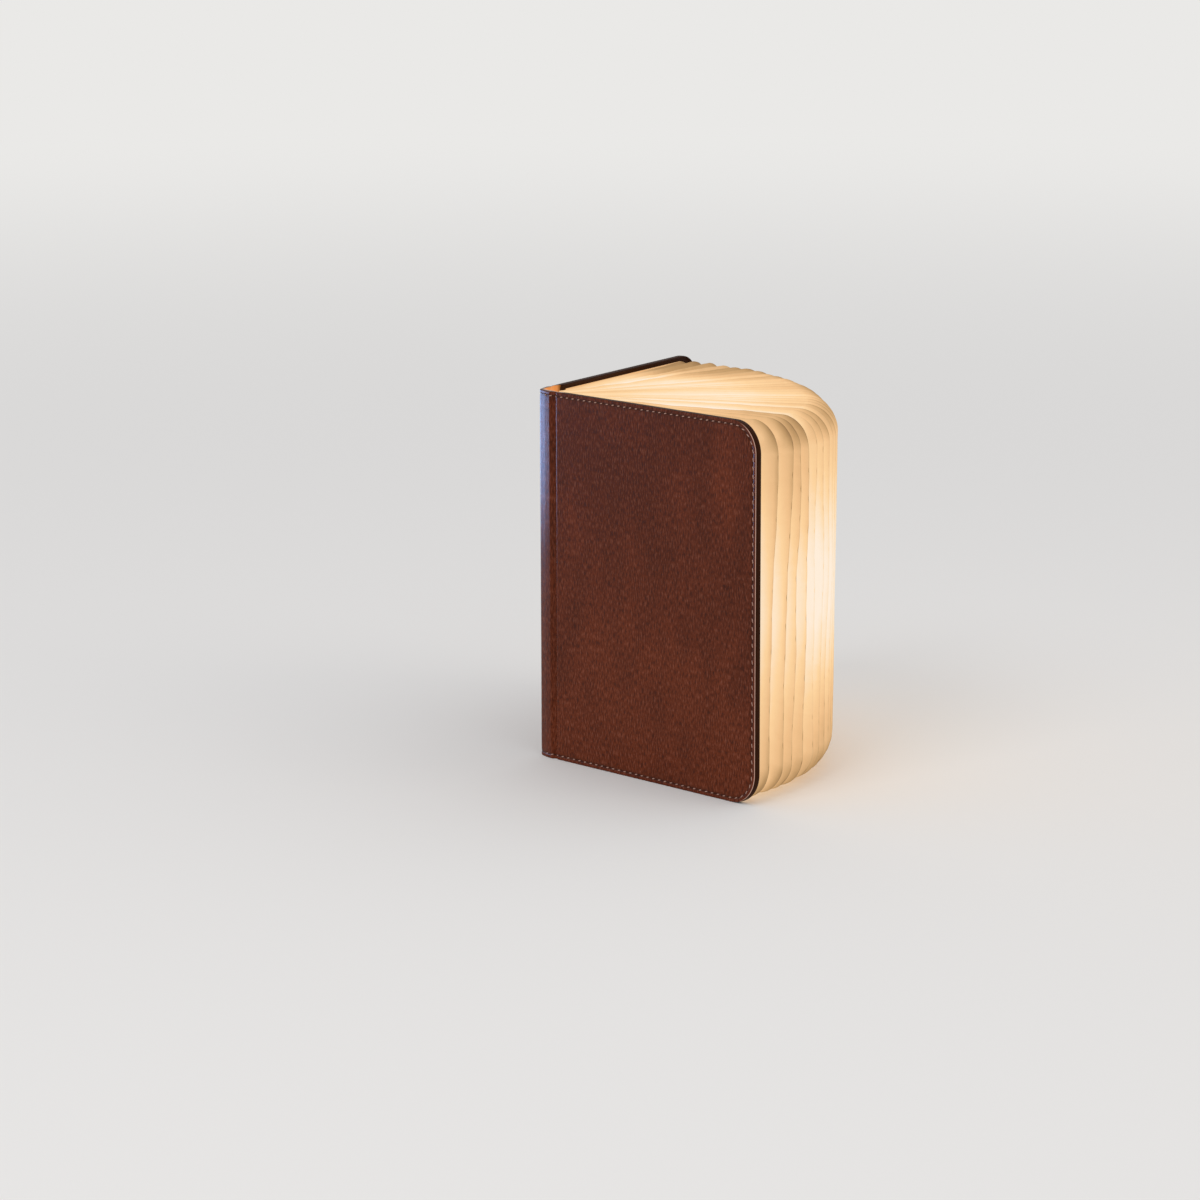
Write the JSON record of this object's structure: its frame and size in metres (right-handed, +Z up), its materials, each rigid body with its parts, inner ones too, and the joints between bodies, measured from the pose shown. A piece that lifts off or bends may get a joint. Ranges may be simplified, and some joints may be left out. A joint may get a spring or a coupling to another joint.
{
  "type": "folding book lamp",
  "caption": "Table lamp shaped as a hardback book: two hinged covers open a fan of pleated paper lit by a light bar in the spine.",
  "frame": {"origin": "on the surface that the lamp stands on, under the middle of its box with the covers at 105 degrees", "axes": "+Z up along the spine, +X from the spine to the pages' fore edge along the fold's middle plane, +Y across the open covers to the back cover"},
  "size_m": [0.1678, 0.2786, 0.215],
  "materials": {
    "cover_leather": "grained, brown, lightly polished",
    "board": "grey-brown millboard",
    "spine_lining": "tan, smooth",
    "lining_paper": "brown endpaper",
    "page_paper": "white fibre paper, lit warm from inside",
    "channel_metal": "drawn, satin anodised",
    "white_board": "white solder mask",
    "led": "amber phosphor",
    "diffuser": "opal",
    "black_plastic": "moulded",
    "screw_steel": "plated",
    "cell_wrap": "shrink film",
    "lead_sleeve": "matt",
    "circuit_board": "green solder mask",
    "socket_metal": "nickel plated",
    "indicator_plastic": "clear",
    "magnet_metal": "nickel plated"
  },
  "bodies": {
    "spine": {"spine_leather": "cover_leather", "spine_board": "board", "spine_lining": "spine_lining", "light_bar_channel": "channel_metal", "led_board": "white_board", "led_emitters": "led", "light_diffuser": "diffuser", "end_cap_top": "black_plastic", "end_cap_bottom": "black_plastic", "end_cap_screws": "screw_steel", "battery_pack": "cell_wrap", "battery_leads": "lead_sleeve", "control_board": "circuit_board", "board_components": "black_plastic", "hall_sensor": "black_plastic", "charging_socket": "socket_metal", "charge_indicator": "indicator_plastic", "pleat_walls_front": "page_paper", "pleat_walls_back": "page_paper", "leaf_middle": "page_paper"},
    "front_cover": {"front_cover_leather": "cover_leather", "front_cover_board": "board", "front_lining": "lining_paper", "front_end_sheet": "page_paper", "front_magnets": "magnet_metal"},
    "back_cover": {"back_cover_leather": "cover_leather", "back_cover_board": "board", "back_lining": "lining_paper", "back_end_sheet": "page_paper", "back_magnets": "magnet_metal"},
    "page_front_1": {"leaf_front_1": "page_paper"},
    "page_front_2": {"leaf_front_2": "page_paper"},
    "page_front_3": {"leaf_front_3": "page_paper"},
    "page_front_4": {"leaf_front_4": "page_paper"},
    "page_front_5": {"leaf_front_5": "page_paper"},
    "page_front_6": {"leaf_front_6": "page_paper"},
    "page_front_7": {"leaf_front_7": "page_paper"},
    "page_front_8": {"leaf_front_8": "page_paper"},
    "page_front_9": {"leaf_front_9": "page_paper"},
    "page_front_10": {"leaf_front_10": "page_paper"},
    "page_front_11": {"leaf_front_11": "page_paper"},
    "page_front_12": {"leaf_front_12": "page_paper"},
    "page_front_13": {"leaf_front_13": "page_paper"},
    "page_back_1": {"leaf_back_1": "page_paper"},
    "page_back_2": {"leaf_back_2": "page_paper"},
    "page_back_3": {"leaf_back_3": "page_paper"},
    "page_back_4": {"leaf_back_4": "page_paper"},
    "page_back_5": {"leaf_back_5": "page_paper"},
    "page_back_6": {"leaf_back_6": "page_paper"},
    "page_back_7": {"leaf_back_7": "page_paper"},
    "page_back_8": {"leaf_back_8": "page_paper"},
    "page_back_9": {"leaf_back_9": "page_paper"},
    "page_back_10": {"leaf_back_10": "page_paper"},
    "page_back_11": {"leaf_back_11": "page_paper"},
    "page_back_12": {"leaf_back_12": "page_paper"},
    "page_back_13": {"leaf_back_13": "page_paper"}
  },
  "joints": [
    {"name": "front_cover_hinge", "type": "hinge", "parent": "spine", "child": "front_cover", "pos_m": [-0.07593, -0.0111, 0], "axis": [0, 0, -1], "range_deg": [-52.5, 130.8], "deforming": ["pleat_walls_front"]},
    {"name": "back_cover_hinge", "type": "hinge", "parent": "spine", "child": "back_cover", "pos_m": [-0.07593, 0.0111, 0], "axis": [0, 0, 1], "range_deg": [-52.5, 130.8], "deforming": ["pleat_walls_back"]},
    {"name": "page_front_1_hinge", "type": "hinge", "parent": "spine", "child": "page_front_1", "pos_m": [-0.07593, -0.0111, 0], "axis": [0, 0, -1], "range_deg": [-3.67, 9.15]},
    {"name": "page_front_2_hinge", "type": "hinge", "parent": "spine", "child": "page_front_2", "pos_m": [-0.07593, -0.0111, 0], "axis": [0, 0, -1], "range_deg": [-7.34, 18.29]},
    {"name": "page_front_3_hinge", "type": "hinge", "parent": "spine", "child": "page_front_3", "pos_m": [-0.07593, -0.0111, 0], "axis": [0, 0, -1], "range_deg": [-11.01, 27.44]},
    {"name": "page_front_4_hinge", "type": "hinge", "parent": "spine", "child": "page_front_4", "pos_m": [-0.07593, -0.0111, 0], "axis": [0, 0, -1], "range_deg": [-14.69, 36.59]},
    {"name": "page_front_5_hinge", "type": "hinge", "parent": "spine", "child": "page_front_5", "pos_m": [-0.07593, -0.0111, 0], "axis": [0, 0, -1], "range_deg": [-18.36, 45.73]},
    {"name": "page_front_6_hinge", "type": "hinge", "parent": "spine", "child": "page_front_6", "pos_m": [-0.07593, -0.0111, 0], "axis": [0, 0, -1], "range_deg": [-22.03, 54.88]},
    {"name": "page_front_7_hinge", "type": "hinge", "parent": "spine", "child": "page_front_7", "pos_m": [-0.07593, -0.0111, 0], "axis": [0, 0, -1], "range_deg": [-25.7, 64.03]},
    {"name": "page_front_8_hinge", "type": "hinge", "parent": "spine", "child": "page_front_8", "pos_m": [-0.07593, -0.0111, 0], "axis": [0, 0, -1], "range_deg": [-29.37, 73.17]},
    {"name": "page_front_9_hinge", "type": "hinge", "parent": "spine", "child": "page_front_9", "pos_m": [-0.07593, -0.0111, 0], "axis": [0, 0, -1], "range_deg": [-33.04, 82.32]},
    {"name": "page_front_10_hinge", "type": "hinge", "parent": "spine", "child": "page_front_10", "pos_m": [-0.07593, -0.0111, 0], "axis": [0, 0, -1], "range_deg": [-36.71, 91.47]},
    {"name": "page_front_11_hinge", "type": "hinge", "parent": "spine", "child": "page_front_11", "pos_m": [-0.07593, -0.0111, 0], "axis": [0, 0, -1], "range_deg": [-40.38, 100.62]},
    {"name": "page_front_12_hinge", "type": "hinge", "parent": "spine", "child": "page_front_12", "pos_m": [-0.07593, -0.0111, 0], "axis": [0, 0, -1], "range_deg": [-44.06, 109.76]},
    {"name": "page_front_13_hinge", "type": "hinge", "parent": "spine", "child": "page_front_13", "pos_m": [-0.07593, -0.0111, 0], "axis": [0, 0, -1], "range_deg": [-47.73, 118.91]},
    {"name": "page_back_1_hinge", "type": "hinge", "parent": "spine", "child": "page_back_1", "pos_m": [-0.07593, 0.0111, 0], "axis": [0, 0, 1], "range_deg": [-3.67, 9.15]},
    {"name": "page_back_2_hinge", "type": "hinge", "parent": "spine", "child": "page_back_2", "pos_m": [-0.07593, 0.0111, 0], "axis": [0, 0, 1], "range_deg": [-7.34, 18.29]},
    {"name": "page_back_3_hinge", "type": "hinge", "parent": "spine", "child": "page_back_3", "pos_m": [-0.07593, 0.0111, 0], "axis": [0, 0, 1], "range_deg": [-11.01, 27.44]},
    {"name": "page_back_4_hinge", "type": "hinge", "parent": "spine", "child": "page_back_4", "pos_m": [-0.07593, 0.0111, 0], "axis": [0, 0, 1], "range_deg": [-14.69, 36.59]},
    {"name": "page_back_5_hinge", "type": "hinge", "parent": "spine", "child": "page_back_5", "pos_m": [-0.07593, 0.0111, 0], "axis": [0, 0, 1], "range_deg": [-18.36, 45.73]},
    {"name": "page_back_6_hinge", "type": "hinge", "parent": "spine", "child": "page_back_6", "pos_m": [-0.07593, 0.0111, 0], "axis": [0, 0, 1], "range_deg": [-22.03, 54.88]},
    {"name": "page_back_7_hinge", "type": "hinge", "parent": "spine", "child": "page_back_7", "pos_m": [-0.07593, 0.0111, 0], "axis": [0, 0, 1], "range_deg": [-25.7, 64.03]},
    {"name": "page_back_8_hinge", "type": "hinge", "parent": "spine", "child": "page_back_8", "pos_m": [-0.07593, 0.0111, 0], "axis": [0, 0, 1], "range_deg": [-29.37, 73.17]},
    {"name": "page_back_9_hinge", "type": "hinge", "parent": "spine", "child": "page_back_9", "pos_m": [-0.07593, 0.0111, 0], "axis": [0, 0, 1], "range_deg": [-33.04, 82.32]},
    {"name": "page_back_10_hinge", "type": "hinge", "parent": "spine", "child": "page_back_10", "pos_m": [-0.07593, 0.0111, 0], "axis": [0, 0, 1], "range_deg": [-36.71, 91.47]},
    {"name": "page_back_11_hinge", "type": "hinge", "parent": "spine", "child": "page_back_11", "pos_m": [-0.07593, 0.0111, 0], "axis": [0, 0, 1], "range_deg": [-40.38, 100.62]},
    {"name": "page_back_12_hinge", "type": "hinge", "parent": "spine", "child": "page_back_12", "pos_m": [-0.07593, 0.0111, 0], "axis": [0, 0, 1], "range_deg": [-44.06, 109.76]},
    {"name": "page_back_13_hinge", "type": "hinge", "parent": "spine", "child": "page_back_13", "pos_m": [-0.07593, 0.0111, 0], "axis": [0, 0, 1], "range_deg": [-47.73, 118.91]}
  ],
  "couplings": [
    {"joint": "back_cover_hinge", "follows": "front_cover_hinge", "ratio": 1},
    {"joint": "page_front_1_hinge", "follows": "front_cover_hinge", "ratio": 0.06993},
    {"joint": "page_front_2_hinge", "follows": "front_cover_hinge", "ratio": 0.13986},
    {"joint": "page_front_3_hinge", "follows": "front_cover_hinge", "ratio": 0.20979},
    {"joint": "page_front_4_hinge", "follows": "front_cover_hinge", "ratio": 0.27972},
    {"joint": "page_front_5_hinge", "follows": "front_cover_hinge", "ratio": 0.34965},
    {"joint": "page_front_6_hinge", "follows": "front_cover_hinge", "ratio": 0.41958},
    {"joint": "page_front_7_hinge", "follows": "front_cover_hinge", "ratio": 0.48951},
    {"joint": "page_front_8_hinge", "follows": "front_cover_hinge", "ratio": 0.55944},
    {"joint": "page_front_9_hinge", "follows": "front_cover_hinge", "ratio": 0.62937},
    {"joint": "page_front_10_hinge", "follows": "front_cover_hinge", "ratio": 0.6993},
    {"joint": "page_front_11_hinge", "follows": "front_cover_hinge", "ratio": 0.76923},
    {"joint": "page_front_12_hinge", "follows": "front_cover_hinge", "ratio": 0.83916},
    {"joint": "page_front_13_hinge", "follows": "front_cover_hinge", "ratio": 0.90909},
    {"joint": "page_back_1_hinge", "follows": "front_cover_hinge", "ratio": 0.06993},
    {"joint": "page_back_2_hinge", "follows": "front_cover_hinge", "ratio": 0.13986},
    {"joint": "page_back_3_hinge", "follows": "front_cover_hinge", "ratio": 0.20979},
    {"joint": "page_back_4_hinge", "follows": "front_cover_hinge", "ratio": 0.27972},
    {"joint": "page_back_5_hinge", "follows": "front_cover_hinge", "ratio": 0.34965},
    {"joint": "page_back_6_hinge", "follows": "front_cover_hinge", "ratio": 0.41958},
    {"joint": "page_back_7_hinge", "follows": "front_cover_hinge", "ratio": 0.48951},
    {"joint": "page_back_8_hinge", "follows": "front_cover_hinge", "ratio": 0.55944},
    {"joint": "page_back_9_hinge", "follows": "front_cover_hinge", "ratio": 0.62937},
    {"joint": "page_back_10_hinge", "follows": "front_cover_hinge", "ratio": 0.6993},
    {"joint": "page_back_11_hinge", "follows": "front_cover_hinge", "ratio": 0.76923},
    {"joint": "page_back_12_hinge", "follows": "front_cover_hinge", "ratio": 0.83916},
    {"joint": "page_back_13_hinge", "follows": "front_cover_hinge", "ratio": 0.90909}
  ]
}
